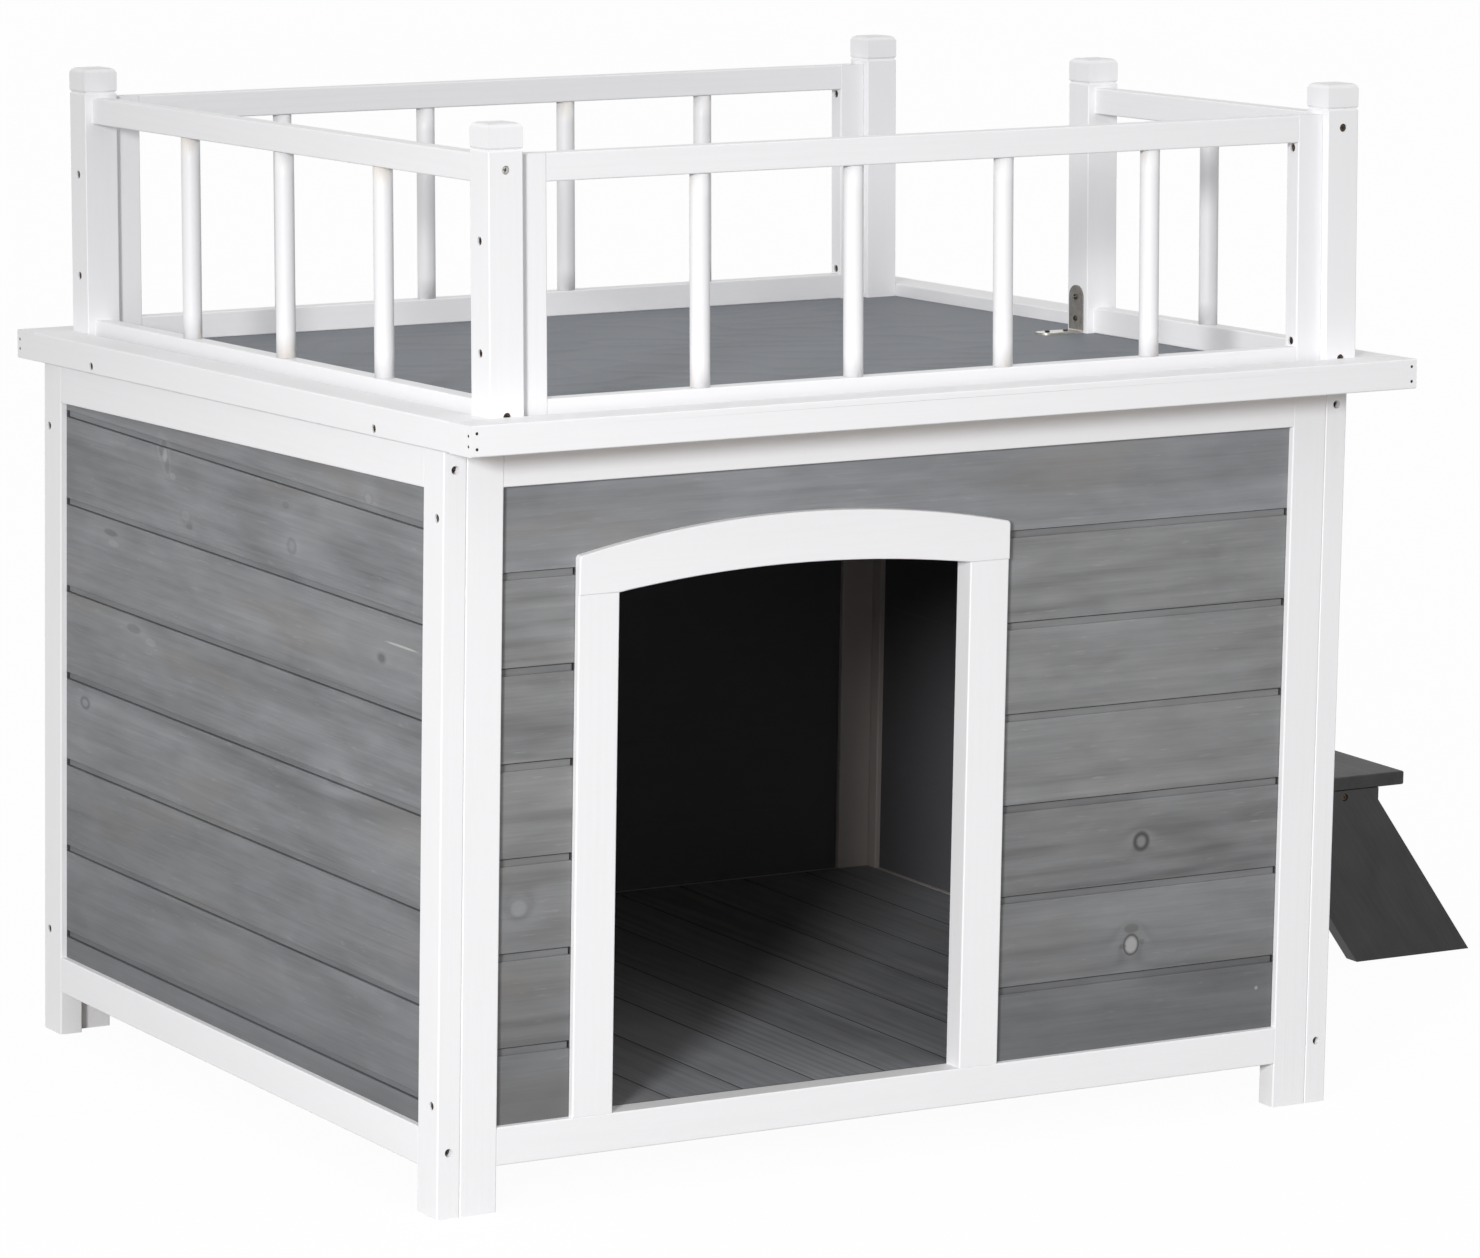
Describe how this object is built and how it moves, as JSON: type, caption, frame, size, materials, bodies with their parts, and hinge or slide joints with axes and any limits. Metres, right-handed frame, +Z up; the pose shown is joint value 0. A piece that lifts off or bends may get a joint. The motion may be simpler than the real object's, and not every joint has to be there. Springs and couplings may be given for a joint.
{
  "type": "raised dog house",
  "caption": "Raised wooden dog house with an arched doorway, a flat sloping roof fenced as a balcony, and a short stair on its right side.",
  "frame": {"origin": "on the ground, under the middle of the whole object's box", "axes": "+X to the object's right, where the stair is; +Y from the doorway to the back wall; +Z up"},
  "size_m": [1.6072, 0.9994, 1.0539],
  "materials": {
    "white_paint": "white paint, satin, with faint grain",
    "grey_stain": "grey stain, matt, with visible grain",
    "floor_stain": "dark grey stain, matt",
    "deck_cover": "blue-grey weatherproof cover, matt",
    "stair_stain": "charcoal stain, matt, worn at the edges",
    "plain_wood": "plain sawn fir",
    "bright_steel": "zinc-plated sheet steel",
    "screw_steel": "plated steel, dulled"
  },
  "bodies": {
    "root": {"back_left_post": "white_paint", "back_railing_bottom_rail": "white_paint", "back_railing_dowels": "white_paint", "back_railing_end_stiles": "white_paint", "back_railing_top_rail": "white_paint", "back_right_post": "white_paint", "back_wall_boards": "grey_stain", "back_wall_bottom_rail": "white_paint", "back_wall_left_stile": "white_paint", "back_wall_right_stile": "white_paint", "back_wall_top_rail": "white_paint", "deck_board": "plain_wood", "deck_cover": "deck_cover", "deck_joists": "plain_wood", "door_header": "white_paint", "door_left_jamb": "white_paint", "door_right_jamb": "white_paint", "floor_battens": "plain_wood", "floor_boards": "floor_stain", "front_left_post": "white_paint", "front_railing_bottom_rail": "white_paint", "front_railing_dowels": "white_paint", "front_railing_end_stiles": "white_paint", "front_railing_top_rail": "white_paint", "front_right_post": "white_paint", "front_wall_bottom_rail": "white_paint", "front_wall_left_boards": "grey_stain", "front_wall_left_stile": "white_paint", "front_wall_right_boards": "grey_stain", "front_wall_right_stile": "white_paint", "front_wall_top_board": "grey_stain", "front_wall_top_rail": "white_paint", "gap_bracket": "bright_steel", "gap_post": "white_paint", "left_railing_bottom_rail": "white_paint", "left_railing_dowels": "white_paint", "left_railing_top_rail": "white_paint", "left_wall_back_stile": "white_paint", "left_wall_boards": "grey_stain", "left_wall_bottom_rail": "white_paint", "left_wall_front_stile": "white_paint", "left_wall_top_rail": "white_paint", "right_railing_bottom_rail": "white_paint", "right_railing_dowels": "white_paint", "right_railing_top_rail": "white_paint", "right_wall_back_stile": "white_paint", "right_wall_boards": "grey_stain", "right_wall_bottom_rail": "white_paint", "right_wall_front_stile": "white_paint", "right_wall_top_rail": "white_paint", "roof_back_board": "white_paint", "roof_front_board": "white_paint", "roof_left_board": "white_paint", "roof_nails": "screw_steel", "roof_right_board": "white_paint", "screws": "screw_steel", "stair_back_stringer": "stair_stain", "stair_cleats": "stair_stain", "stair_front_stringer": "stair_stain", "stair_treads": "stair_stain"}
  },
  "joints": []
}
